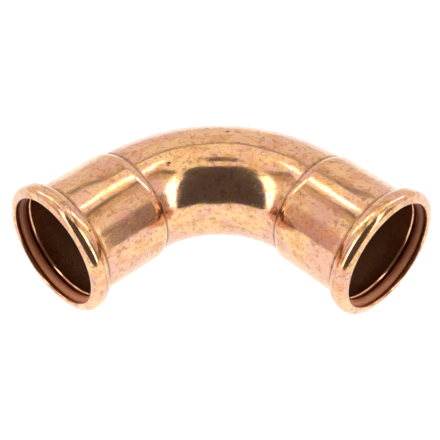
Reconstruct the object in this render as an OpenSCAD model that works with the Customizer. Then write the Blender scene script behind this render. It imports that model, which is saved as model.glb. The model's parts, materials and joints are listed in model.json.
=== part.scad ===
// Copper elbow that turns a pipe through 90 degrees, with a press socket at each end.
// It lies on its side: one socket points along +X and the other along -Y, and the
// origin is on the surface that the elbow lies on, under the middle of its outline.

/* [Pipe] */
// Outside diameter of the pipe that each socket takes
pipe_d = 42; // [35:1:54]
// Gap all round between the pipe and the socket's bore
pipe_gap = 0.2; // [0.1:0.05:0.4]

/* [Bend] */
// Wall thickness of the copper, the same all over
wall = 1.5; // [1.2:0.1:1.8]
// Radius of the bend, at the middle of the tube
bend_radius = 49.5; // [42:0.5:70]

/* [Sockets] */
// Length of each socket, from the end of the bend to its mouth
socket_length = 38; // [32:0.5:50]
// Height of the step inside the socket that stops the pipe
stop_height = 1.2; // [0.8:0.1:1.8]
// Hollow radius at the foot of that step, outside
step_foot_round = 0.4; // [0.3:0.1:1]
// Round radius at the top of that step, outside
step_shoulder_round = 6; // [4:0.5:8]

/* [Bead at the mouth] */
// How far the bead stands out from the socket
bead_height = 3.4; // [3.2:0.1:3.8]
// Hollow radius where the bead's back rises from the socket
bead_foot_round = 1.1; // [0.7:0.1:1.3]
// Angle that the wall turns through there
bead_back_turn = 88; // [80:1:88]
// Round radius from the bead's back to its top
bead_back_round = 2; // [1.9:0.1:2.2]
// Radius of the bead's wide top
bead_top_round = 8; // [6:0.5:12]
// Angles at which the top starts at its back and ends at its front
bead_top_rise = 6; // [2:1:10]
bead_top_fall = 23; // [15:1:26]
// Round radius from the bead's top to the lip
bead_front_round = 1.9; // [1.9:0.1:2.4]
// Angle by which the lip falls towards the mouth
lip_fall = 64; // [55:1:70]
// Length of the lip's straight part
lip_length = 0.8; // [0.5:0.1:1.2]
// Radius of the corner where the bore turns into the bead's groove
groove_corner_round = 1; // [0.6:0.1:1.5]

/* [O-rings] */
// Play between the O-ring's outside and the highest place in the bead's groove
seal_play = 0.2; // [0.15:0.05:0.3]
// Gap between the O-ring and the back of the groove
seal_back_gap = 0.15; // [0.1:0.05:0.3]

/* [Hidden] */
$fn = 96;

copper = "#c98a68";
seal_red = "#7d4437";

// Radii of the socket and of the bent tube, to the inside and outside of the wall
bore_r = pipe_d / 2 + pipe_gap;
socket_r = bore_r + wall;
tube_bore_r = bore_r - stop_height;
tube_r = tube_bore_r + wall;

// A socket's section is a chain of arcs and straight lines. Its points are two numbers: the
// distance from the socket's axis and the height over the end of the bend. No arc's chord
// turns further than the arc step, in degrees.
arc_step = 7.5;

// Directions in the section, for a wall that falls towards the mouth by an angle
function out(fall) = [cos(fall), sin(fall)];
function forward(fall) = [-sin(fall), cos(fall)];

// The step is an S of two arcs that turn equally far, the foot and the shoulder
step_rounds = step_foot_round + step_shoulder_round;
step_turn = acos(1 - stop_height / step_rounds);
step_length = step_rounds * sin(step_turn);
foot_centre = [tube_r + step_foot_round, 0];
shoulder_centre = [socket_r - step_shoulder_round, step_length];

// The bead, from its back over its top to the lip, which ends in a half circle
bead_r = socket_r + bead_height;
lip_from_front = (bead_front_round - wall / 2) * out(lip_fall) + lip_length * forward(lip_fall);
front_from_top = (bead_top_round - bead_front_round) * out(bead_top_fall);
back_from_top = (bead_top_round - bead_back_round) * out(-bead_top_rise);
bead_top_h = socket_length - wall / 2 - lip_from_front.y - front_from_top.y;
bead_top_centre = [bead_r - bead_top_round, bead_top_h];
bead_front_centre = bead_top_centre + front_from_top;
bead_back_centre = bead_top_centre + back_from_top;
lip_centre = bead_front_centre + lip_from_front;

// The bead's back is straight between the hollow foot and the round top
back_start = bead_back_centre - bead_back_round * [-cos(bead_back_turn), sin(bead_back_turn)];
back_rise = back_start.x - socket_r - bead_foot_round * (1 - cos(bead_back_turn));
back_run = bead_foot_round * sin(bead_back_turn) + back_rise / tan(bead_back_turn);
bead_foot_centre = [socket_r + bead_foot_round, back_start.y - back_run];

// Inside, the same turn has a tighter corner
corner_shift = (bead_foot_round + wall - groove_corner_round) * tan(bead_back_turn / 2);
groove_corner_centre = [bore_r + groove_corner_round, bead_foot_centre.y + corner_shift];

// The O-ring reaches from the pipe's surface to just under the groove's top
seal_outer_r = bead_r - wall - seal_play;
seal_section_d = seal_outer_r - pipe_d / 2;
seal_centre_r = seal_outer_r - seal_section_d / 2;
seal_from_back = seal_section_d / 2 + seal_back_gap - (bead_back_round - wall);
seal_drop = (seal_centre_r - bead_back_centre.x) * cos(bead_back_turn);
seal_h = bead_back_centre.y + (seal_from_back + seal_drop) / sin(bead_back_turn);

// The axes of the two sockets cross here
mouth_reach = bend_radius + socket_length;
axes_crossing = [-(mouth_reach - bead_r) / 2, (mouth_reach - bead_r) / 2, bead_r];

// Points of an arc from one angle to another, without the last one and with it
function open_arc(centre, radius, from, to) =
    let (steps = ceil(abs(to - from) / arc_step))
    [for (i = [0 : steps - 1]) centre + radius * out(from + (to - from) * i / steps)];

function arc(centre, radius, from, to) =
    concat(open_arc(centre, radius, from, to), [centre + radius * out(to)]);

// Outside of the wall, from the bend to the lip
outside = concat(
    open_arc(foot_centre, step_foot_round, 180, 180 - step_turn),
    arc(shoulder_centre, step_shoulder_round, -step_turn, 0),
    arc(bead_foot_centre, bead_foot_round, 180, 180 - bead_back_turn),
    open_arc(bead_back_centre, bead_back_round, -bead_back_turn, -bead_top_rise),
    open_arc(bead_top_centre, bead_top_round, -bead_top_rise, bead_top_fall),
    arc(bead_front_centre, bead_front_round, bead_top_fall, lip_fall));

// Round edge that closes the wall at the lip
lip = arc(lip_centre, wall / 2, lip_fall, lip_fall + 180);

// Inside of the wall, from the lip back to the bend
inside = concat(
    open_arc(bead_front_centre, bead_front_round - wall, lip_fall, bead_top_fall),
    open_arc(bead_top_centre, bead_top_round - wall, bead_top_fall, -bead_top_rise),
    arc(bead_back_centre, bead_back_round - wall, -bead_top_rise, -bead_back_turn),
    arc(groove_corner_centre, groove_corner_round, 180 - bead_back_turn, 180),
    open_arc(shoulder_centre, step_shoulder_round - wall, 0, -step_turn),
    arc(foot_centre, step_foot_round + wall, 180 - step_turn, 180));

// Places a child at the end of the bend, with its height along the socket's axis
module on_right_socket() {
    translate(axes_crossing)
        rotate([0, 90, 0])
            translate([0, 0, bend_radius])
                children();
}

module on_left_socket() {
    translate(axes_crossing)
        rotate([90, 0, 0])
            translate([0, 0, bend_radius])
                children();
}

module bent_tube() {
    translate(axes_crossing)
        translate([bend_radius, -bend_radius, 0])
            rotate([0, 0, 90])
                rotate_extrude(angle = 90)
                    translate([bend_radius, 0])
                        difference() {
                            circle(r = tube_r);
                            circle(r = tube_bore_r);
                        }
}

module socket_wall() {
    rotate_extrude()
        polygon(concat(outside, lip, inside));
}

module o_ring() {
    translate([0, 0, seal_h])
        rotate_extrude()
            translate([seal_centre_r, 0])
                circle(d = seal_section_d);
}

module elbow_body() {
    color(copper)
        union() {
            bent_tube();
            on_right_socket() socket_wall();
            on_left_socket() socket_wall();
        }
}

module left_o_ring() {
    color(seal_red) on_left_socket() o_ring();
}

module right_o_ring() {
    color(seal_red) on_right_socket() o_ring();
}

elbow_body();
left_o_ring();
right_o_ring();
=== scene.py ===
# %% [markdown]
# A press elbow turns a copper pipe through a right angle. It is one length of copper tube:
# bent in the middle, widened at both ends into sockets, and rolled over at each mouth into
# a bead that holds a rubber O-ring. This lesson gives it its surfaces and its finish.
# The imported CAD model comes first, because its box says where every surface has to stay.

# %% Load the frame
import json
import math

import bpy
import numpy as np
from mathutils import Matrix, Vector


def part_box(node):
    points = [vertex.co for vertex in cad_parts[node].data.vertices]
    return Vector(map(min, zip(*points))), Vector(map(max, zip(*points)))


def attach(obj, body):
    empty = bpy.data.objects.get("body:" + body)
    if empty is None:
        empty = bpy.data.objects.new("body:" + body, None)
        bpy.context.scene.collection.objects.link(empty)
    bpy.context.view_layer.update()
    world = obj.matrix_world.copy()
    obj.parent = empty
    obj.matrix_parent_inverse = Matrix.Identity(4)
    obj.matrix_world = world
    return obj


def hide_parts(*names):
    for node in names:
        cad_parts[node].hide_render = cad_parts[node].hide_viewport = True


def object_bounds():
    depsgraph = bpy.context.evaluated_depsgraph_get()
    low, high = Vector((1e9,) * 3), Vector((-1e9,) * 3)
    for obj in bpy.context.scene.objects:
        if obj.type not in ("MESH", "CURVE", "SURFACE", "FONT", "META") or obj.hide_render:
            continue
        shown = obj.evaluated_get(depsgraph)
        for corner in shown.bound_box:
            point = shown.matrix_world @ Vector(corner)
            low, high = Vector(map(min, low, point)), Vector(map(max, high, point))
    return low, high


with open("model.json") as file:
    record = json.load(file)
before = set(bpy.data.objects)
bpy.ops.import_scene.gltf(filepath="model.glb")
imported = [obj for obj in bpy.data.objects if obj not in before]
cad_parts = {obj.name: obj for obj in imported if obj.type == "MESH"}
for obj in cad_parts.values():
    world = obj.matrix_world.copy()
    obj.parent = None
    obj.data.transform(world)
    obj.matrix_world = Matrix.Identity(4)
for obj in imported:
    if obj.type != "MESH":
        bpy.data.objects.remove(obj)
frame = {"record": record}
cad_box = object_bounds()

MM = 0.001
print("CAD box in mm:", [round(v / MM, 2) for corner in cad_box for v in corner])

# %% [markdown]
# The camera looks down into the inner corner of the elbow, so that both mouths show. Its
# place can be guessed and nudged, or worked out from the outline of the elbow in the
# picture. It was worked out: a turn and a rise round the crossing of the two socket axes,
# a small roll, a distance, and a shift of the aim across the picture.

# %% Place the camera
PICTURE_PX = 440
FOCAL_PX = 1132.6
CAMERA_TURN = math.radians(45.68)
CAMERA_RISE = math.radians(43.265)
CAMERA_ROLL = math.radians(0.284)
CLIP_NEAR = 10 * MM
CLIP_FAR = 20.0
CAMERA_DISTANCE = 459.5 * MM
AIM_RIGHT = -1.05 * MM
AIM_UP = -29.70 * MM
SENSOR_WIDTH = 36.0

box_low = np.array(cad_box[0])
box_high = np.array(cad_box[1])
bead_radius = (box_high[2] - box_low[2]) / 2
axes_crossing = np.array([box_low[0] + bead_radius, box_high[1] - bead_radius, bead_radius])


def camera_directions(turn, rise, roll):
    """Right, up and back of a camera that is turned round Z, raised, then rolled about its own view."""
    level = np.array([math.sin(turn), -math.cos(turn), 0.0])
    back = level * math.cos(rise) + np.array([0.0, 0.0, math.sin(rise)])
    flat_right = np.array([math.cos(turn), math.sin(turn), 0.0])
    flat_up = np.cross(back, flat_right)
    right = math.cos(roll) * flat_right + math.sin(roll) * flat_up
    up = math.cos(roll) * flat_up - math.sin(roll) * flat_right
    return right, up, back


view_right, view_up, view_back = camera_directions(CAMERA_TURN, CAMERA_RISE, CAMERA_ROLL)
eye = axes_crossing + CAMERA_DISTANCE * view_back + AIM_RIGHT * view_right + AIM_UP * view_up

camera_data = bpy.data.cameras.new("studio_camera")
camera_data.sensor_width = SENSOR_WIDTH
camera_data.lens = FOCAL_PX * SENSOR_WIDTH / PICTURE_PX
camera_data.clip_start = CLIP_NEAR
camera_data.clip_end = CLIP_FAR
camera = bpy.data.objects.new("studio_camera", camera_data)
bpy.context.scene.collection.objects.link(camera)
pose = np.eye(4)
pose[:3, :3] = np.stack([view_right, view_up, view_back], axis=1)
pose[:3, 3] = eye
camera.matrix_world = Matrix(pose)
bpy.context.scene.camera = camera
print("camera lens in mm:", round(camera_data.lens, 2), "eye in mm:", (eye / MM).round(1).tolist())

# %% [markdown]
# The tube follows a line with two straight ends and a quarter circle between them. A
# curve object could carry a round profile along it, but it would have no room for the
# sockets and beads. So the line is a formula of the distance walked along it.

# %% The tube's centre line
BEND_RADIUS = 49.5 * MM
reach = box_high[0] - axes_crossing[0]
socket_length = reach - BEND_RADIUS
bend_length = BEND_RADIUS * math.pi / 2
line_length = 2 * socket_length + bend_length
bend_centre = axes_crossing + np.array([BEND_RADIUS, -BEND_RADIUS, 0.0])


def centre_line(walk):
    """Place on the line and direction away from the bend's centre, at distances walked from the left mouth.
    The turn is the walk inside the bend over its radius, and the rest of the walk is straight."""
    turn = np.clip((walk - socket_length) / BEND_RADIUS, 0.0, math.pi / 2)
    zero = np.zeros_like(turn)
    outward = np.stack([-np.cos(turn), np.sin(turn), zero], axis=-1)
    forward = np.stack([np.sin(turn), np.cos(turn), zero], axis=-1)
    straight = walk - socket_length - BEND_RADIUS * turn
    place = bend_centre + BEND_RADIUS * outward + straight[..., None] * forward
    return place, outward


print("centre line in mm:", round(line_length / MM, 2))

# %% [markdown]
# Seen in section, a socket's wall is a chain of arcs and straight stretches: an S-shaped
# step where the tube widens, a hollow foot, the bead's back, top and front, and the lip.
# Each point of the chain has a height over the end of the bend and a distance from the
# socket's axis. The inner skin is the same chain with every radius moved by the wall's
# thickness, but for one tight corner where the bore turns into the groove.

# %% The section of a socket
WALL = 1.5 * MM
STOP_HEIGHT = 1.2 * MM
STEP_FOOT_ROUND = 0.4 * MM
STEP_SHOULDER_ROUND = 6.0 * MM
BEAD_FOOT_ROUND = 1.1 * MM
BEAD_BACK_TURN = math.radians(80)
BEAD_BACK_ROUND = 1.8 * MM
BEAD_TOP_ROUND = 7.0 * MM
BEAD_TOP_RISE = math.radians(28)
BEAD_TOP_FALL = math.radians(6)
BEAD_FRONT_ROUND = 2.35 * MM
LIP_FALL = math.radians(72)
LIP_LENGTH = 1.5 * MM
GROOVE_CORNER_ROUND = 1.0 * MM
ARC_STEP = math.radians(5)
HALF_TURN = math.pi
NECK_DEPTH = 0.02 * MM
NECK_WIDTH = 0.45 * MM
NECK_FROM_BEAD = 0.8 * MM
OUTER_STRAIGHT_POINTS = 28
INNER_STRAIGHT_POINTS = 10


def out(fall):
    """Direction out of a wall that falls towards the mouth by an angle: (sine, cosine)."""
    return np.stack([np.sin(fall), np.cos(fall)], axis=-1)


def forward(fall):
    """Direction along that wall towards the mouth: (cosine, minus sine)."""
    return np.stack([np.cos(fall), -np.sin(fall)], axis=-1)


bore_radius = frame["record"]["mounts"][0]["dims"]["r_mm"] * MM
socket_radius = bore_radius + WALL
tube_radius = socket_radius - STOP_HEIGHT

step_rounds = STEP_FOOT_ROUND + STEP_SHOULDER_ROUND
step_turn = math.acos(1 - STOP_HEIGHT / step_rounds)
step_length = step_rounds * math.sin(step_turn)
foot_centre = (0.0, tube_radius + STEP_FOOT_ROUND)
shoulder_centre = (step_length, socket_radius - STEP_SHOULDER_ROUND)

lip_from_front = (BEAD_FRONT_ROUND - WALL / 2) * out(LIP_FALL) + LIP_LENGTH * forward(LIP_FALL)
front_from_top = (BEAD_TOP_ROUND - BEAD_FRONT_ROUND) * out(BEAD_TOP_FALL)
top_height = socket_length - WALL / 2 - lip_from_front[0] - front_from_top[0]
top_centre = np.array([top_height, bead_radius - BEAD_TOP_ROUND])
back_centre = top_centre + (BEAD_TOP_ROUND - BEAD_BACK_ROUND) * out(-BEAD_TOP_RISE)
front_centre = top_centre + front_from_top
lip_centre = front_centre + lip_from_front

back_start = back_centre + BEAD_BACK_ROUND * out(-BEAD_BACK_TURN)
back_rise = back_start[1] - socket_radius - BEAD_FOOT_ROUND * (1 - math.cos(BEAD_BACK_TURN))
back_run = BEAD_FOOT_ROUND * math.sin(BEAD_BACK_TURN) + back_rise / math.tan(BEAD_BACK_TURN)
bead_foot_centre = (back_start[0] - back_run, socket_radius + BEAD_FOOT_ROUND)
corner_shift = (BEAD_FOOT_ROUND + WALL - GROOVE_CORNER_ROUND) * math.tan(BEAD_BACK_TURN / 2)
corner_centre = (bead_foot_centre[0] + corner_shift, bore_radius + GROOVE_CORNER_ROUND)


def arc(centre, radius, start, end):
    """Points of an arc: the centre plus the radius times the out direction of an even run of falls."""
    count = max(3, int(math.ceil(abs(end - start) / ARC_STEP)) + 1)
    return np.array(centre) + radius * out(np.linspace(start, end, count))


def straight_wall(start, end, distance, count, neck):
    """Points of a straight stretch of wall, closer to each other near its ends: half a cosine in height.
    A neck before the bead makes the wall narrower by a bell curve of the height."""
    height = start + (end - start) * (1 - np.cos(np.linspace(0, math.pi, count + 2)[1:-1])) / 2
    bell = np.exp(-((height - end + NECK_FROM_BEAD) / NECK_WIDTH) ** 2)
    return np.stack([height, distance - neck * bell], axis=1)


def wall_chain(outer):
    """One skin of a socket, from the bend to the lip: foot, shoulder, straight wall, bead and lip."""
    inward = 0.0 if outer else WALL
    foot = arc(foot_centre, STEP_FOOT_ROUND + inward, HALF_TURN, HALF_TURN - step_turn)
    shoulder = arc(shoulder_centre, STEP_SHOULDER_ROUND - inward, -step_turn, 0.0)
    if outer:
        corner_place, corner_round = (bead_foot_centre, BEAD_FOOT_ROUND)
        count, neck = (OUTER_STRAIGHT_POINTS, NECK_DEPTH)
    else:
        corner_place, corner_round = (corner_centre, GROOVE_CORNER_ROUND)
        count, neck = (INNER_STRAIGHT_POINTS, 0.0)
    straight = straight_wall(step_length, corner_place[0], socket_radius - inward, count, neck)
    corner = arc(corner_place, corner_round, HALF_TURN, HALF_TURN - BEAD_BACK_TURN)
    back = arc(back_centre, BEAD_BACK_ROUND - inward, -BEAD_BACK_TURN, -BEAD_TOP_RISE)
    top = arc(top_centre, BEAD_TOP_ROUND - inward, -BEAD_TOP_RISE, BEAD_TOP_FALL)
    front = arc(front_centre, BEAD_FRONT_ROUND - inward, BEAD_TOP_FALL, LIP_FALL)
    return np.concatenate([foot, shoulder[1:], straight, corner, back, top[1:], front[1:]])


outer_chain = wall_chain(True)
inner_chain = wall_chain(False)
lip_chain = arc(lip_centre, WALL / 2, LIP_FALL, LIP_FALL + HALF_TURN)
print("points outside, on the lip and inside:", len(outer_chain), len(lip_chain), len(inner_chain))

# %% [markdown]
# One closed loop round the whole wall joins the pieces: out along the outer skin from the
# left lip to the right one, and back inside. Some numbers go with each point, so that the
# finish can follow them: whether it is inside, how deep it lies in the bore, and how near
# it is to the hollow creases, which get painted shade, and to two rolling lines outside,
# which are painted darker.

# %% Close the loop round the wall
BEND_RINGS = 56
BORE_FADE = 11.0 * MM
CREASE_WIDTH = 0.6 * MM
LINE_WIDTH = 0.35 * MM
BACK_LINE_FALL = math.radians(-50)
TOP_LINE_FALL = math.radians(-13.4)


def bend_stretch(distance, count):
    """Points (walk, distance) along the bend, without its two ends."""
    walk = np.linspace(socket_length, socket_length + bend_length, count + 2)[1:-1]
    return np.stack([walk, np.full(count, distance)], axis=1)


def on_left(chain):
    """Heights over the end of the bend become distances walked from the left mouth."""
    return np.stack([socket_length - chain[:, 0], chain[:, 1]], axis=1)


def on_right(chain):
    """The same at the right end of the walk."""
    return np.stack([line_length - socket_length + chain[:, 0], chain[:, 1]], axis=1)


outside = np.concatenate([
    on_left(outer_chain[::-1]),
    bend_stretch(tube_radius, BEND_RINGS),
    on_right(outer_chain),
])
inside = np.concatenate([
    on_right(inner_chain[::-1]),
    bend_stretch(tube_radius - WALL, BEND_RINGS // 2)[::-1],
    on_left(inner_chain),
])
right_lip = on_right(lip_chain)
left_lip = on_left(lip_chain[::-1])
wall_loop = np.concatenate([outside, right_lip, inside, left_lip])
turn_in = np.linspace(0.0, 1.0, len(lip_chain))
is_inside = np.concatenate([np.zeros(len(outside)), turn_in, np.ones(len(inside)), turn_in[::-1]])

walked = wall_loop[:, 0]
height_over_bend = np.maximum(socket_length - walked, walked - line_length + socket_length)
share_down = np.clip((corner_centre[0] - height_over_bend) / BORE_FADE, 0.0, 1.0)
bore_depth = np.where(is_inside == 1, share_down * share_down * (3 - 2 * share_down), 0.0)
# Painted shade: the hollow creases at the step's foot and at the bead's foot are darkened fully, and two
# lines on the bead's back and top a little less.
darkened_places = [
    ((0.0, tube_radius), CREASE_WIDTH, 1.0),
    ((bead_foot_centre[0], socket_radius), CREASE_WIDTH, 1.0),
    (back_centre + BEAD_BACK_ROUND * out(BACK_LINE_FALL), LINE_WIDTH, 0.6),
    (top_centre + BEAD_TOP_ROUND * out(TOP_LINE_FALL), LINE_WIDTH, 0.4),
]
in_section = np.stack([height_over_bend, wall_loop[:, 1]], axis=1)
crease_shade_and_lines = np.zeros(len(wall_loop))
for place, width, share in darkened_places:
    away = np.linalg.norm(in_section - np.array(place), axis=1)
    crease_shade_and_lines += share * np.exp(-(away / width) ** 2) * (is_inside == 0)
print("closed loop:", len(wall_loop), "points, of which deep in the bore:", int((bore_depth == 1).sum()))

# %% [markdown]
# A ring is carried round the line at every point of the loop, which gives a closed grid:
# one way it runs round the wall, the other way round the tube. The grid goes into the
# mesh as whole arrays. Each point also keeps the place that it would have on a straight
# tube, so that marks from drawing the tube can follow the bend.

# %% Carry a ring along the loop
AROUND = 180


def carried_ring(loop, around):
    """Grid of points: the centre line, plus the distance times (cosine outward, sine up) of the angle.
    The second grid is the same tube pulled straight: (distance cosine, distance sine, walk)."""
    walk = loop[:, 0][:, None]
    distance = loop[:, 1][:, None]
    angle = np.linspace(0.0, 2 * math.pi, around, endpoint=False)[None, :]
    place, outward = centre_line(walk)
    upward = np.array([0.0, 0.0, 1.0])
    across = distance * np.cos(angle)
    rise = distance * np.sin(angle)
    points = place + across[..., None] * outward + rise[..., None] * upward
    pulled = np.stack([across, rise, np.broadcast_to(walk, across.shape)], axis=-1)
    return points, pulled


def grid_faces(rows, columns):
    """Corner numbers of a grid's four-sided faces: row and column plus 0 or 1, wrapped round both ways."""
    row, column = np.meshgrid(np.arange(rows), np.arange(columns), indexing="ij")
    next_row = (row + 1) % rows
    next_column = (column + 1) % columns
    corners = [
        row * columns + column,
        next_row * columns + column,
        next_row * columns + next_column,
        row * columns + next_column,
    ]
    return np.stack(corners, axis=-1).reshape(-1, 4)


def signed_volume(points, faces):
    """Volume inside closed faces: a sixth of the sum of the triangles' triple products. It is positive
    where the faces point out."""
    a, b, c, d = (points[faces[:, i]] for i in range(4))
    first = np.einsum("ij,ij->i", a, np.cross(b, c)).sum()
    second = np.einsum("ij,ij->i", a, np.cross(c, d)).sum()
    return (first + second) / 6


def grid_piece(name, grid, layers):
    """A smooth mesh object from a grid closed both ways. Layers are values kept on its points."""
    rows, columns = grid.shape[:2]
    points = grid.reshape(-1, 3)
    faces = grid_faces(rows, columns)
    volume = signed_volume(points, faces)
    if volume < 0:
        faces = faces[:, ::-1]
    mesh = bpy.data.meshes.new(name)
    mesh.vertices.add(len(points))
    mesh.vertices.foreach_set("co", points.astype(np.float32).ravel())
    mesh.loops.add(faces.size)
    mesh.loops.foreach_set("vertex_index", faces.astype(np.int32).ravel())
    mesh.polygons.add(len(faces))
    mesh.polygons.foreach_set("loop_start", np.arange(0, faces.size, 4, dtype=np.int32))
    mesh.polygons.foreach_set("use_smooth", np.ones(len(faces), dtype=bool))
    for layer, values in layers.items():
        if values.ndim == grid.ndim:
            kept = mesh.attributes.new(layer, "FLOAT_VECTOR", "POINT")
            kept.data.foreach_set("vector", values.astype(np.float32).ravel())
        else:
            kept = mesh.attributes.new(layer, "FLOAT", "POINT")
            kept.data.foreach_set("value", values.astype(np.float32).ravel())
    mesh.update(calc_edges=True)
    mesh.validate()
    piece = bpy.data.objects.new(name, mesh)
    bpy.context.scene.collection.objects.link(piece)
    print(name, "has", 2 * len(faces), "triangles and holds", round(abs(volume) / MM**3, 1), "cubic mm")
    return piece


# %% [markdown]
# A tube that was bent and widened by tools isn't perfectly round: its reflections sway a
# little. A bump in the material can sway them too, but here the skin itself is moved, by
# a sum of a few long waves of some hundredths of a millimetre.

# %% The skin's slow waves
WAVE_COUNT = 14
WAVE_HEIGHT = 0.012 * MM
SHORTEST_WAVE = 9 * MM
LONGEST_WAVE = 26 * MM
WAVE_SEED = 7


def forming_waves(pulled):
    """Height of the skin: a sum of cosines whose directions, lengths and phases come from one seed."""
    chance = np.random.default_rng(WAVE_SEED)
    directions = chance.normal(size=(WAVE_COUNT, 3))
    directions /= np.linalg.norm(directions, axis=1)[:, None]
    lengths = chance.uniform(SHORTEST_WAVE, LONGEST_WAVE, WAVE_COUNT)
    phases = chance.uniform(0, 2 * math.pi, WAVE_COUNT)
    height = np.zeros(pulled.shape[:2])
    for direction, length, phase in zip(directions, lengths, phases):
        height += np.cos(pulled @ direction * (2 * math.pi / length) + phase) * WAVE_HEIGHT
    return height


loop_across = np.roll(wall_loop, -1, axis=0) - np.roll(wall_loop, 1, axis=0)
loop_out = np.stack([-loop_across[:, 1], loop_across[:, 0]], axis=1)
loop_out /= np.linalg.norm(loop_out, axis=1)[:, None]
flat_points, pulled_points = carried_ring(wall_loop, AROUND)
waves = forming_waves(pulled_points) * (1 - is_inside)[:, None]
print("waves in mm, lowest and highest:", (waves.min() / MM).round(4), (waves.max() / MM).round(4))

# %% [markdown]
# The elbow's own piece is the loop with the waves added along the direction that points
# out of the wall. It stands for the CAD body, and rides where that body is.

# %% Make the copper elbow
wave_shift = loop_out[:, None, :] * waves[..., None]
line_place, line_outward = centre_line(np.broadcast_to(wall_loop[:, 0][:, None], waves.shape))
line_forward = np.stack([line_outward[..., 1], -line_outward[..., 0], line_outward[..., 2]], axis=-1)
radial = (flat_points - line_place) / wall_loop[:, 1][:, None, None]
wavy_points = flat_points + wave_shift[..., 0:1] * line_forward + wave_shift[..., 1:2] * radial
elbow = grid_piece("copper_elbow", wavy_points, {
    "pulled_straight": pulled_points,
    "bore_depth": np.broadcast_to(bore_depth[:, None], waves.shape),
    "crease_shade_and_lines": np.broadcast_to(crease_shade_and_lines[:, None], waves.shape),
})
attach(elbow, "root")
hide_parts("elbow_body")

# %% [markdown]
# Each O-ring lies in the groove of a bead. A rubber ring is moulded in two halves, which
# leaves a fine raised line round its inner and outer edge where the mould closed. So its
# section is a circle with two small ridges, carried round the socket's axis.

# %% Make the O-rings
RING_POINTS = 64
RING_AROUND = 200
FLASH_HEIGHT = 0.05 * MM
FLASH_SHARPNESS = 160.0
FLASH_CROWDING = 0.35


def ring_section(radius):
    """Points (along, out) of a circle with a ridge at its inner and outer edge: the radius grows by the
    ridge's height times a high power of the angle's cosine, and the points crowd together there."""
    angle = np.linspace(0.0, 2 * math.pi, RING_POINTS, endpoint=False)
    angle = angle - FLASH_CROWDING * np.sin(2 * angle)
    grown = radius + FLASH_HEIGHT * (np.abs(np.cos(angle)) ** FLASH_SHARPNESS - 1)
    return np.stack([grown * np.sin(angle), grown * np.cos(angle)], axis=1)


def o_ring(name, cad_node, axis):
    """A ring section carried round a socket's axis: the centre, plus a height along the axis, plus the
    arm times (cosine, sine) of the angle round it."""
    low, high = (np.array(corner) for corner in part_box(cad_node))
    centre = (low + high) / 2
    thickness = (high - low)[axis]
    outer = (high - low)[2] / 2
    section = ring_section(thickness / 2)
    angle = np.linspace(0.0, 2 * math.pi, RING_AROUND, endpoint=False)
    arm = outer - thickness / 2 + section[:, 1]
    grid = np.zeros((RING_POINTS, RING_AROUND, 3))
    grid[..., axis] = section[:, 0][:, None]
    grid[..., 1 - axis] = arm[:, None] * np.cos(angle)[None, :]
    grid[..., 2] = arm[:, None] * np.sin(angle)[None, :]
    round_ring = np.broadcast_to(angle[None, :] * outer, grid.shape[:2])
    ring = grid_piece(name, grid + centre, {"round_ring": round_ring})
    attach(ring, "root")
    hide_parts(cad_node)
    return ring


rings = [o_ring("left_seal", "left_o_ring", 1), o_ring("right_seal", "right_o_ring", 0)]

# %% [markdown]
# A material is a small network. A few short helpers keep its listing readable: they add
# a node with its settings and feeds, a sum, a smooth change, a mixed colour, an empty
# material and a group.

# %% Helpers for shader networks


def node(tree, kind, feeds=None, **settings):
    """Adds a node. Settings are its own choices, and feeds gives its sockets values or other outputs."""
    made = tree.nodes.new(kind)
    for name, value in settings.items():
        setattr(made, name, value)
    for name, value in (feeds or {}).items():
        if isinstance(value, bpy.types.NodeSocket):
            tree.links.new(value, made.inputs[name])
        else:
            made.inputs[name].default_value = value
    return made


def sum_of(tree, operation, first, second=0.0, third=0.0):
    """The output of one Math node."""
    return node(tree, "ShaderNodeMath", {0: first, 1: second, 2: third}, operation=operation).outputs[0]


def ramp(tree, value, start, end, low=0.0, high=1.0):
    """A smooth change from low to high as the value goes from start to end."""
    feeds = {"Value": value, "From Min": start, "From Max": end, "To Min": low, "To Max": high}
    return node(tree, "ShaderNodeMapRange", feeds, interpolation_type="SMOOTHSTEP").outputs["Result"]


def tint(tree, share, below, above):
    """A colour that goes from below to above with the share."""
    mixer = node(tree, "ShaderNodeMix", data_type="RGBA")
    colours = {0: share, 6: below, 7: above}
    for place, value in colours.items():
        if isinstance(value, bpy.types.NodeSocket):
            tree.links.new(value, mixer.inputs[place])
        else:
            mixer.inputs[place].default_value = value
    return mixer.outputs[2]


def new_material(name):
    """An empty material and its network."""
    material = bpy.data.materials.new(name)
    material.use_nodes = True
    material.node_tree.nodes.clear()
    return material, material.node_tree


def new_group(name, inputs, outputs):
    """An empty node group with named sockets: inputs maps a name to its kind and value."""
    group = bpy.data.node_groups.new(name, "ShaderNodeTree")
    for socket, (kind, value) in inputs.items():
        made = group.interface.new_socket(name=socket, in_out="INPUT", socket_type=kind)
        if value is not None:
            made.default_value = value
    for socket, kind in outputs.items():
        group.interface.new_socket(name=socket, in_out="OUTPUT", socket_type=kind)
    return group, group.nodes.new("NodeGroupInput").outputs, group.nodes.new("NodeGroupOutput").inputs


def use_group(tree, group, feeds):
    """Places a group in a network with its own values, and gives its outputs."""
    return node(tree, "ShaderNodeGroup", feeds, node_tree=group).outputs


VECTOR = "NodeSocketVector"
NUMBER = "NodeSocketFloat"
print("shader helpers ready")

# %% [markdown]
# Both the copper and the rubber carry specks: pits and dirt on the metal, dust on the
# seal. Cells of a Voronoi pattern each hold one speck, or none, and its size is drawn
# from the cell's own random colour. A little noise bends the cells, so that the specks
# aren't round. Both materials use it, so it is a group.

# %% Group for specks


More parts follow.
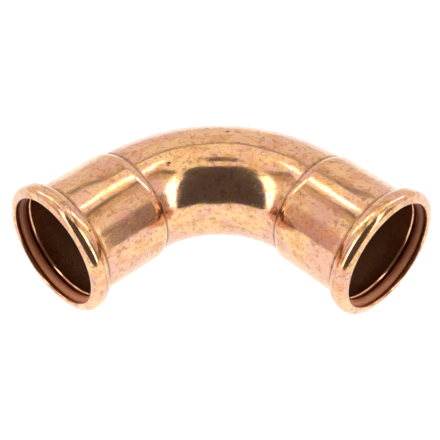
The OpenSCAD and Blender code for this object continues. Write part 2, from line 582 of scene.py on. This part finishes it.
def speck_group():
    """Mask that is 1 in a speck. Cell is the distance between specks, Size their largest radius as a
    share of it, and Share the part of the cells that hold one."""
    group, given, result = new_group(
        "specks",
        {"Vector": (VECTOR, None), "Cell": (NUMBER, 0.002), "Size": (NUMBER, 0.25), "Share": (NUMBER, 0.5)},
        {"Mask": NUMBER},
    )
    per_cell = sum_of(group, "DIVIDE", 1.0, given["Cell"])
    scaled = node(group, "ShaderNodeVectorMath", {0: given["Vector"], "Scale": per_cell}, operation="SCALE")
    bend = node(group, "ShaderNodeTexNoise", {"Vector": scaled.outputs[0], "Scale": 3.6, "Detail": 3.0})
    middle = (0.5, 0.5, 0.5)
    push = node(group, "ShaderNodeVectorMath", {0: bend.outputs["Color"], 1: middle}, operation="SUBTRACT")
    push = node(group, "ShaderNodeVectorMath", {0: push.outputs[0], "Scale": 0.7}, operation="SCALE")
    bent = node(group, "ShaderNodeVectorMath", {0: scaled.outputs[0], 1: push.outputs[0]}, operation="ADD")
    cells = node(group, "ShaderNodeTexVoronoi", {"Vector": bent.outputs[0], "Scale": 1.0})
    chance = node(group, "ShaderNodeSeparateColor", {"Color": cells.outputs["Color"]}).outputs
    held = sum_of(group, "LESS_THAN", chance["Red"], given["Share"])
    radius = sum_of(group, "MULTIPLY", given["Size"], ramp(group, chance["Green"], 0.0, 1.0, 0.3, 1.0))
    depth = sum_of(group, "SUBTRACT", radius, cells.outputs["Distance"])
    soft = sum_of(group, "MULTIPLY", radius, 0.5)
    inside_speck = ramp(group, depth, 0.0, soft)
    group.links.new(sum_of(group, "MULTIPLY", inside_speck, held), result["Mask"])
    return group


specks = speck_group()


def speck_mask(tree, place, cell, size, share):
    """The specks of one kind, placed in a material."""
    feeds = {"Vector": place, "Cell": cell, "Size": size, "Share": share}
    return use_group(tree, specks, feeds)["Mask"]


print("group:", specks.name)

# %% [markdown]
# Bare copper in a box darkens in patches, and rubber blooms in patches. The same group
# makes both: cloudy noise whose bright parts are cut out with a soft edge.

# %% Group for patches


def patch_group():
    """Mask of cloudy patches. Width is a patch's width, Cover moves the cut, and Edge is how soft it is."""
    group, given, result = new_group(
        "patches",
        {"Vector": (VECTOR, None), "Width": (NUMBER, 0.008), "Cover": (NUMBER, 0.5), "Edge": (NUMBER, 0.1)},
        {"Mask": NUMBER},
    )
    per_width = sum_of(group, "DIVIDE", 1.0, given["Width"])
    cloud = node(group, "ShaderNodeTexNoise", {
        "Vector": given["Vector"], "Scale": per_width, "Detail": 5.0, "Roughness": 0.6, "Distortion": 0.4,
    })
    middle = sum_of(group, "SUBTRACT", 1.0, given["Cover"])
    start = sum_of(group, "SUBTRACT", middle, given["Edge"])
    end = sum_of(group, "ADD", middle, given["Edge"])
    group.links.new(ramp(group, cloud.outputs["Fac"], start, end), result["Mask"])
    return group


patches = patch_group()


def patch_mask(tree, place, width, cover, edge):
    """The patches of one kind, placed in a material."""
    feeds = {"Vector": place, "Width": width, "Cover": cover, "Edge": edge}
    return use_group(tree, patches, feeds)["Mask"]


print("group:", patches.name)

# %% [markdown]
# The copper is plain metal under a film of forming oil and the first brown of oxide. A
# polished metal shows mostly what is round it, so the base colour is that of clean
# copper, and rosy and golden patches, streaks along the tube, brown grain and specks vary
# it. The hollow creases are painted dark brown as shade, and two lines on the bead are
# painted darker, in the brown of the dirt specks. A thin clear coat stands for the oil: it
# pales the metal where it is seen at a slant. Inside the tube nobody polishes: the oxide
# there is dark and dull. The streaks and dashes follow the tube that was pulled straight,
# so they run along the bend.

# %% The copper
CLEAN_COPPER = (0.95, 0.59, 0.28, 1.0)
ROSY_COPPER = (0.85, 0.47, 0.33, 1.0)
GOLDEN_TARNISH = (0.80, 0.36, 0.12, 1.0)
BROWN_FILM = (0.42, 0.17, 0.08, 1.0)
# Brown of the dirt specks, also painted into the creases as shade
BROWN_DIRT_AND_SHADE = (0.19, 0.075, 0.03, 1.0)
BORE_OXIDE = (0.40, 0.22, 0.12, 1.0)
COAT_WEIGHT = 0.8
COAT_IOR = 1.6
COAT_ROUGHNESS = 0.25
ALONG_THE_TUBE = 0.55
BROAD_WIDTH = 9 * MM
GOLDEN_WIDTH = 3.4 * MM
FILM_WIDTH = 2.2 * MM
GRAIN_WIDTH = 0.8 * MM
PIT_CELL = 7 * MM
DOT_CELL = 1.5 * MM
DASH_CELL = 1 * MM
BROAD_SHARE = 0.95
GOLDEN_SHARE = 0.65
FILM_SHARE = 0.58
GRAIN_SHARE = 0.4
DOT_SHARE = 0.55
DASH_SHARE = 0.45
DIRT_AND_SHADE_SHARE = 0.92
BORE_DULLNESS = 0.25
BORE_METAL_LOSS = 0.4
RELIEF = 0.05 * MM


def copper_material():
    """Metal whose colour, roughness and height follow its patches, grain, specks, painted crease shade and
    depth.
    """
    material, tree = new_material("press_copper")
    place = node(tree, "ShaderNodeTexCoord").outputs["Object"]
    pulled = node(tree, "ShaderNodeAttribute", attribute_name="pulled_straight").outputs["Vector"]
    bore = node(tree, "ShaderNodeAttribute", attribute_name="bore_depth").outputs["Fac"]
    shade_and_lines_near = node(tree, "ShaderNodeAttribute", attribute_name="crease_shade_and_lines").outputs["Fac"]

    stretch = {"Vector": pulled, "Scale": (1.0, 1.0, ALONG_THE_TUBE)}
    along = node(tree, "ShaderNodeMapping", stretch, vector_type="POINT").outputs["Vector"]
    broad = patch_mask(tree, along, BROAD_WIDTH, 0.50, 0.08)
    golden = patch_mask(tree, along, GOLDEN_WIDTH, 0.46, 0.07)
    film = patch_mask(tree, place, FILM_WIDTH, 0.41, 0.06)
    grain = patch_mask(tree, along, GRAIN_WIDTH, 0.40, 0.06)
    pits = speck_mask(tree, place, PIT_CELL, 0.15, 0.6)
    dots = speck_mask(tree, place, DOT_CELL, 0.30, 0.5)
    dashes = speck_mask(tree, along, DASH_CELL, 0.30, 0.4)

    colour = tint(tree, sum_of(tree, "MULTIPLY", broad, BROAD_SHARE), CLEAN_COPPER, ROSY_COPPER)
    colour = tint(tree, sum_of(tree, "MULTIPLY", golden, GOLDEN_SHARE), colour, GOLDEN_TARNISH)
    colour = tint(tree, sum_of(tree, "MULTIPLY", film, FILM_SHARE), colour, BROWN_FILM)
    colour = tint(tree, sum_of(tree, "MULTIPLY", grain, GRAIN_SHARE), colour, BROWN_FILM)
    dirt_and_shade = sum_of(tree, "MAXIMUM", pits, sum_of(tree, "MULTIPLY", dots, DOT_SHARE))
    dirt_and_shade = sum_of(tree, "MAXIMUM", dirt_and_shade, sum_of(tree, "MULTIPLY", dashes, DASH_SHARE))
    # Painted shade in the creases and darker lines on the bead, in the same brown as the dirt
    painted_darkening = sum_of(tree, "MULTIPLY", shade_and_lines_near, ramp(tree, film, 0.0, 1.0, 0.75, 1.15))
    dirt_and_shade = sum_of(tree, "MINIMUM", sum_of(tree, "MAXIMUM", dirt_and_shade, painted_darkening), 1.0)
    colour = tint(tree, sum_of(tree, "MULTIPLY", dirt_and_shade, DIRT_AND_SHADE_SHARE), colour, BROWN_DIRT_AND_SHADE)
    colour = tint(tree, bore, colour, BORE_OXIDE)

    rough = ramp(tree, golden, 0.0, 1.0, 0.10, 0.16)
    rough = sum_of(tree, "MULTIPLY_ADD", film, 0.05, rough)
    rough = sum_of(tree, "MULTIPLY_ADD", dirt_and_shade, 0.35, rough)
    rough = sum_of(tree, "MULTIPLY_ADD", bore, BORE_DULLNESS, rough)
    metal = sum_of(tree, "MULTIPLY_ADD", bore, -BORE_METAL_LOSS, 1.0)
    bare = sum_of(tree, "SUBTRACT", 1.0, sum_of(tree, "MAXIMUM", dirt_and_shade, bore))
    oil = sum_of(tree, "MULTIPLY", bare, COAT_WEIGHT)

    height = sum_of(tree, "MULTIPLY", grain, -0.3)
    height = sum_of(tree, "SUBTRACT", height, dirt_and_shade)
    relief = node(tree, "ShaderNodeBump", {"Strength": 0.10, "Distance": RELIEF, "Height": height})

    shader = node(tree, "ShaderNodeBsdfPrincipled", {
        "Base Color": colour,
        "Metallic": metal,
        "Roughness": rough,
        "Normal": relief.outputs["Normal"],
        "Coat Weight": oil,
        "Coat Roughness": COAT_ROUGHNESS,
        "Coat IOR": COAT_IOR,
    })
    node(tree, "ShaderNodeOutputMaterial", {"Surface": shader.outputs["BSDF"]})
    return material


elbow.data.materials.append(copper_material())
print("copper on", elbow.name)

# %% [markdown]
# The O-rings are a dull brick-brown rubber. Rubber scatters light more than it reflects,
# so the base colour carries it, with a paler bloom in patches and a few grains of dust.

# %% The seal rubber
SEAL_BROWN = (0.74, 0.27, 0.12, 1.0)
SEAL_BLOOM = (0.80, 0.38, 0.20, 1.0)
DUST = (0.45, 0.38, 0.32, 1.0)
BLOOM_WIDTH = 5 * MM
DUST_CELL = 1.4 * MM
RUBBER_GRAIN = 2500.0
RUBBER_RELIEF = 0.04 * MM


def rubber_material():
    """Dull rubber with bloom and dust."""
    material, tree = new_material("seal_rubber")
    place = node(tree, "ShaderNodeTexCoord").outputs["Object"]
    bloom = patch_mask(tree, place, BLOOM_WIDTH, 0.45, 0.12)
    dust = speck_mask(tree, place, DUST_CELL, 0.12, 0.4)
    colour = tint(tree, sum_of(tree, "MULTIPLY", bloom, 0.5), SEAL_BROWN, SEAL_BLOOM)
    colour = tint(tree, sum_of(tree, "MULTIPLY", dust, 0.5), colour, DUST)
    rough = ramp(tree, bloom, 0.0, 1.0, 0.42, 0.58)
    grain = node(tree, "ShaderNodeTexNoise", {"Vector": place, "Scale": RUBBER_GRAIN, "Detail": 2.0})
    height = sum_of(tree, "ADD", grain.outputs["Fac"], dust)
    relief = node(tree, "ShaderNodeBump", {"Strength": 0.2, "Distance": RUBBER_RELIEF, "Height": height})
    shader = node(tree, "ShaderNodeBsdfPrincipled", {
        "Base Color": colour, "Roughness": rough, "Normal": relief.outputs["Normal"],
    })
    node(tree, "ShaderNodeOutputMaterial", {"Surface": shader.outputs["BSDF"]})
    return material


seal_rubber = rubber_material()
for ring in rings:
    ring.data.materials.append(seal_rubber)
print("rubber on", [ring.name for ring in rings])

# %% [markdown]
# The elbow lies on a white table. Most of its white is a glow that only the camera and
# the metal see, over a grey surface. So it is white in the picture without more light
# falling on the elbow, and it still takes the elbow's shadow. Near the elbow the glow is
# stronger: a painted pool of light.

# %% The floor
FLOOR_REACH = 3.0
FLOOR_GLOW = 0.90
# Painted pool of light: the table glows a little more near the elbow
NEAR_LIGHT_POOL = 0.99
NEAR_END = 50 * MM
FAR_START = 150 * MM
FLOOR_COLOUR = (0.24, 0.27, 0.30, 1.0)


def card(name, corners, material):
    """A flat card from its corners. With four of them, its own map runs from 0 to 1 along the first two
    and up to the others."""
    mesh = bpy.data.meshes.new(name)
    mesh.from_pydata([list(corner) for corner in corners], [], [tuple(range(len(corners)))])
    uv = mesh.uv_layers.new(name="card")
    if len(corners) == 4:
        uv.data.foreach_set("uv", np.array([0, 0, 1, 0, 1, 1, 0, 1], dtype=np.float32))
    made = bpy.data.objects.new(name, mesh)
    bpy.context.scene.collection.objects.link(made)
    made.data.materials.append(material)
    return made


def seen_share(tree):
    """1 for rays from the camera and for reflected and refracted ones, and 0 for the light that falls on
    things."""
    rays = node(tree, "ShaderNodeLightPath").outputs
    shown = sum_of(tree, "MAXIMUM", rays["Is Camera Ray"], rays["Is Glossy Ray"])
    return sum_of(tree, "MAXIMUM", shown, rays["Is Transmission Ray"])


def floor_material():
    """White table: diffuse, plus a glow for what is seen, which is stronger near the elbow as a painted
    pool of light.
    """
    material, tree = new_material("white_table")
    matt = node(tree, "ShaderNodeBsdfDiffuse", {"Color": FLOOR_COLOUR})
    place = node(tree, "ShaderNodeTexCoord").outputs["Object"]
    away = node(tree, "ShaderNodeVectorMath", {0: place}, operation="LENGTH").outputs["Value"]
    strength = ramp(tree, away, NEAR_END, FAR_START, NEAR_LIGHT_POOL, FLOOR_GLOW)
    seen_strength = sum_of(tree, "MULTIPLY", seen_share(tree), strength)
    glow = node(tree, "ShaderNodeEmission", {"Strength": seen_strength})
    both = node(tree, "ShaderNodeAddShader", {0: matt.outputs[0], 1: glow.outputs[0]})
    node(tree, "ShaderNodeOutputMaterial", {"Surface": both.outputs[0]})
    return material


floor_half = FLOOR_REACH / 2
floor_corners = [
    (-floor_half, -floor_half, 0),
    (floor_half, -floor_half, 0),
    (floor_half, floor_half, 0),
    (-floor_half, floor_half, 0),
]
floor = card("table", floor_corners, floor_material())
print("floor in mm, from the middle to each side:", round(floor_half / MM))

# %% [markdown]
# Polished metal is a picture of its surroundings, so the studio matters as much as the
# copper. Such parts are photographed in a white light tent that is open towards the
# camera. Its walls are cards that glow softly; the opening is dark, and a lamp shines
# through the front of each side wall as an upright bright strip. The back corners catch
# more light than the walls. The side walls and the table are in shade beside the strips
# and along their front edges, and so are the eaves under the ceiling and the tops of the
# side walls: this shade is painted, as cards that glow darker and browner. A dark seam
# runs where the ceiling is sewn on. The cards are hidden from the camera itself, and only
# the metal and the table see them.

# %% The light tent
TENT_LEAN = math.radians(6.8)
HALF = 400
TOP = 800
HOOD_FROM = 450
WALL_TINT = (0.88, 0.78, 0.74, 1.0)
CEILING = (1.04, 0.96, 0.82, 1.0)
OPENING = (0.10, 0.085, 0.078, 1.0)
LAMP = (1.0, 0.98, 0.95, 1.0)
LEFT_SHADE = (0.66, 0.46, 0.42, 1.0)
RIGHT_SHADE = (0.30, 0.20, 0.18, 1.0)
# Painted shade at the tops of the side walls: they glow darker and browner than the walls
HIGH_WALL_SHADE = (0.68, 0.52, 0.36, 1.0)
# Painted shade under the eaves: a card that glows dark brown
EAVE_SHADE = (0.20, 0.13, 0.09, 1.0)
SEAM = (0.14, 0.08, 0.05, 1.0)
HOLE = (0.12, 0.08, 0.05, 1.0)

# Outlines on a side wall, as millimetres (front, up)
STRIP = [(165, -10), (282, -10), (275, 570), (85, 570)]
STRIP_TOP = [(88, 520), (274, 520), (268, 800), (95, 800)]
WALL_SHADE = [(60, -160), (250, -160), (140, 370), (60, 370)]
# Painted shade along the front edge of each strip
STRIP_EDGE_SHADE = [(262, 0), (310, 0), (300, 800), (252, 800)]
SIDE_FLAP = [(290, 0), (400, 0), (400, 800), (290, 800)]
REAR_GLOW = [(-275, 190), (-165, 190), (-235, 560), (-345, 560)]
# Painted shade at the top of each side wall
WALL_TOP = [(-300, 590), (75, 590), (75, 830), (-300, 830)]

# Outlines under the ceiling, as (front, side)
CEILING_FLAP = [(290, 400), (180, 335), (100, 240), (90, 160), (160, 60)]
CEILING_HOLE = [(-125, -95), (-125, 75), (25, 75), (25, -95)]
EAVE = [(-300, 312), (75, 312), (75, 440), (-300, 440)]

# Outlines before the back wall, as (side, up)
BACK_SEAM = [(0, 448), (135, 305), (135, 345), (0, 505)]

# Slanting cards, as (front, side, up)
FOOT_SHADE = [(60, 320, 8.5), (210, 320, 26.5), (210, 430, 26.5), (60, 430, 8.5)]
REAR_CORNER = [(-400, 300, 510), (-290, 400, 510), (-290, 400, 735), (-400, 300, 735)]
HIGH_CORNER = [(-398, 140, 700), (-398, 275, 700), (-320, 275, 775), (-320, 140, 775)]
SILL = [(205, -260, 25), (205, 260, 25), (205, 260, 95), (205, -260, 95)]

flat_front = np.array([math.sin(CAMERA_TURN), -math.cos(CAMERA_TURN), 0.0])
tent_side = np.array([math.cos(CAMERA_TURN), math.sin(CAMERA_TURN), 0.0])
straight_up = np.array([0.0, 0.0, 1.0])
tent_up = straight_up * math.cos(TENT_LEAN) + flat_front * math.sin(TENT_LEAN)
tent_front = flat_front * math.cos(TENT_LEAN) - straight_up * math.sin(TENT_LEAN)


def glow_material(name, colour, strength, edge_x=0.0, edge_y=0.0):
    """A card that glows. With an edge, its glow fades out over that share of the card on each side."""
    material, tree = new_material(name)
    glow = node(tree, "ShaderNodeEmission", {"Color": colour, "Strength": strength})
    surface = glow.outputs[0]
    if edge_x or edge_y:
        on_card = node(tree, "ShaderNodeUVMap", uv_map="card").outputs[0]
        place = node(tree, "ShaderNodeSeparateXYZ", {0: on_card}).outputs
        share = 1.0
        for value, edge in ((place["X"], edge_x), (place["Y"], edge_y)):
            if edge:
                from_middle = sum_of(tree, "ABSOLUTE", sum_of(tree, "SUBTRACT", value, 0.5))
                share = sum_of(tree, "MULTIPLY", share, ramp(tree, from_middle, 0.5, 0.5 - edge))
        clear = node(tree, "ShaderNodeBsdfTransparent").outputs[0]
        surface = node(tree, "ShaderNodeMixShader", {0: share, 1: clear, 2: surface}).outputs[0]
    node(tree, "ShaderNodeOutputMaterial", {"Surface": surface})
    return material


def tent_card(name, corners, material):
    """A card of the tent, unseen by the camera. Its corners are in millimetres to the front, to the
    camera's right, and up from the middle of the tent's floor."""
    places = [(front * tent_front + side * tent_side + up * tent_up) * MM for front, side, up in corners]
    made = card(name, places, material)
    made.visible_camera = False
    return made


def on_wall(hand, layer, outline):
    """Corners before a side wall from an outline (front, up). Hand is -1 for the left wall."""
    return [(front, hand * (HALF - layer), up) for front, up in outline]


def under_ceiling(layer, outline):
    """Corners under the ceiling from an outline (front, side)."""
    return [(front, side, TOP - layer) for front, side in outline]


def before_back(layer, outline):
    """Corners before the back wall from an outline (side, up)."""
    return [(layer - HALF, side, up) for side, up in outline]


def mirrored(hand, corners):
    """The same corners on the left or right side of the tent."""
    return [(front, hand * side, up) for front, side, up in corners]


def rectangle(left, low, right, high):
    """Outline of a rectangle."""
    return [(left, low), (right, low), (right, high), (left, high)]


wall = glow_material("tent_wall", WALL_TINT, 1.0)
ceiling = glow_material("tent_ceiling", CEILING, 1.0)
opening = glow_material("tent_opening", OPENING, 1.0)
strip = glow_material("tent_strip", LAMP, 3.2, 0.06, 0.10)
strip_top = glow_material("tent_strip_top", LAMP, 2.4, 0.10, 0.04)
shades = {
    -1: glow_material("tent_shade_left", LEFT_SHADE, 1.0, 0.03, 0.20),
    1: glow_material("tent_shade_right", RIGHT_SHADE, 1.0, 0.03, 0.20),
}
# Painted shade: a band along each strip's front edge glows in the dark shade colour
strip_edge_shade = glow_material("tent_edge_shade", RIGHT_SHADE, 0.9, 0.35, 0.0)
corner_glow = glow_material("tent_corner", LAMP, 4.0, 0.25, 0.10)
high_glow = glow_material("tent_high", LAMP, 3.6, 0.25, 0.15)
# Painted shade at the tops of the side walls
high_wall_shade = glow_material("tent_high_wall_shade", HIGH_WALL_SHADE, 1.0, 0.10, 0.20)
# Painted shade under the eaves
eave_shade = glow_material("tent_eave_shade", EAVE_SHADE, 1.0, 0.08, 0.12)
seam = glow_material("tent_seam", SEAM, 1.0, 0.0, 0.2)
hole = glow_material("tent_hole", HOLE, 1.0, 0.12, 0.15)

upright_wall = rectangle(-HALF, 0, HALF, TOP)
tent_card("tent_back", before_back(0, upright_wall), wall)
tent_card("tent_hood", before_back(3, rectangle(-HALF, HOOD_FROM, HALF, TOP)), ceiling)
tent_card("tent_mouth", before_back(2 * HALF, upright_wall), opening)
tent_card("tent_top", under_ceiling(0, rectangle(-HALF, -HALF, HALF, HALF)), ceiling)
for hand, label in ((-1, "left"), (1, "right")):
    tent_card(f"tent_{label}", on_wall(hand, 0, upright_wall), wall)
    tent_card(f"tent_strip_{label}", on_wall(hand, 4, STRIP), strip)
    tent_card(f"tent_strip_top_{label}", on_wall(hand, 6, STRIP_TOP), strip_top)
    tent_card(f"tent_shade_{label}", on_wall(hand, 8, WALL_SHADE), shades[hand])
    tent_card(f"tent_foot_{label}", mirrored(hand, FOOT_SHADE), shades[hand])
    tent_card(f"tent_edge_shade_{label}", on_wall(hand, 8, STRIP_EDGE_SHADE), strip_edge_shade)
    tent_card(f"tent_flap_{label}", on_wall(hand, 10, SIDE_FLAP), opening)
    tent_card(f"tent_wall_top_shade_{label}", on_wall(hand, 2, WALL_TOP), high_wall_shade)
    tent_card(f"tent_eave_shade_{label}", mirrored(hand, under_ceiling(3, EAVE)), eave_shade)
    tent_card(f"tent_rear_{label}", on_wall(hand, 4, REAR_GLOW), corner_glow)
    tent_card(f"tent_corner_{label}", mirrored(hand, REAR_CORNER), corner_glow)
    tent_card(f"tent_high_{label}", mirrored(hand, HIGH_CORNER), high_glow)
    tent_card(f"tent_seam_{label}", mirrored(hand, before_back(6, BACK_SEAM)), seam)
flap_left = [(front, -side) for front, side in CEILING_FLAP]
flap_outline = flap_left + CEILING_FLAP[::-1] + [(HALF, HALF), (HALF, -HALF)]
tent_card("tent_flap_top", under_ceiling(8, flap_outline), opening)
tent_card("tent_hole", under_ceiling(8, CEILING_HOLE), hole)
tent_card("tent_sill", SILL, opening)
print("tent half width in mm:", HALF, "and height:", TOP)

# %% [markdown]
# Beyond the tent the world is plain white for the camera and for the metal, and a little
# under white for the light that falls on things.

# %% The world
WORLD_LIGHT = 0.8

world = bpy.data.worlds.new("white_studio")
world.use_nodes = True
world.node_tree.nodes.clear()
seen = seen_share(world.node_tree)
strength = ramp(world.node_tree, seen, 0.0, 1.0, WORLD_LIGHT, 1.0)
white = (1.0, 1.0, 1.0, 1.0)
background = node(world.node_tree, "ShaderNodeBackground", {"Color": white, "Strength": strength})
node(world.node_tree, "ShaderNodeOutputWorld", {"Surface": background.outputs[0]})
bpy.context.scene.world = world
bpy.context.scene.view_settings.view_transform = "Standard"
print("world light:", WORLD_LIGHT)
